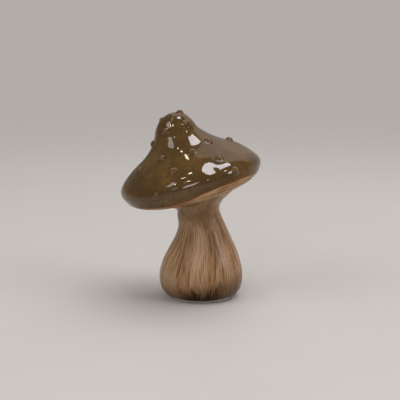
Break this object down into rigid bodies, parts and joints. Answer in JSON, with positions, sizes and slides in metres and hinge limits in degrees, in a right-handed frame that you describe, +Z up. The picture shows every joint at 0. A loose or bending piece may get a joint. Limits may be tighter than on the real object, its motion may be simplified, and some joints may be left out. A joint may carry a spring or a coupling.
{
  "type": "mushroom ornament",
  "caption": "Free-standing hollow ceramic mushroom: a tilted bell-shaped cap with raised glaze spots on a thrown, bulb-footed stem.",
  "frame": {"origin": "middle of the foot's resting face", "axes": "+Z up along the stem, front (the side with the cap tipped towards its left) facing -Y, +X to the right of the front"},
  "size_m": [0.0987, 0.1031, 0.1339],
  "materials": {
    "cap_glaze": "high-gloss olive-brown glaze, breaking rust-brown over thin places",
    "spot_glaze": "the cap's gloss glaze, broken rust-brown over the raised spots",
    "underside_wash": "satin tan clay with a brushed brown wash",
    "stem_wash": "satin clear glaze over beige clay with upright brown brush strokes",
    "bare_clay": "matt unglazed stoneware"
  },
  "bodies": {
    "root": {"cap_top": "cap_glaze", "cap_underside": "underside_wash", "stem": "stem_wash", "base_disc": "bare_clay", "spot_01": "spot_glaze", "spot_02": "spot_glaze", "spot_03": "spot_glaze", "spot_04": "spot_glaze", "spot_05": "spot_glaze", "spot_06": "spot_glaze", "spot_07": "spot_glaze", "spot_08": "spot_glaze", "spot_09": "spot_glaze", "spot_10": "spot_glaze", "spot_11": "spot_glaze", "spot_12": "spot_glaze", "spot_13": "spot_glaze", "spot_14": "spot_glaze", "spot_15": "spot_glaze", "spot_16": "spot_glaze", "spot_17": "spot_glaze", "spot_18": "spot_glaze", "spot_19": "spot_glaze", "spot_20": "spot_glaze", "spot_21": "spot_glaze", "spot_22": "spot_glaze", "spot_23": "spot_glaze", "spot_24": "spot_glaze"}
  },
  "joints": []
}
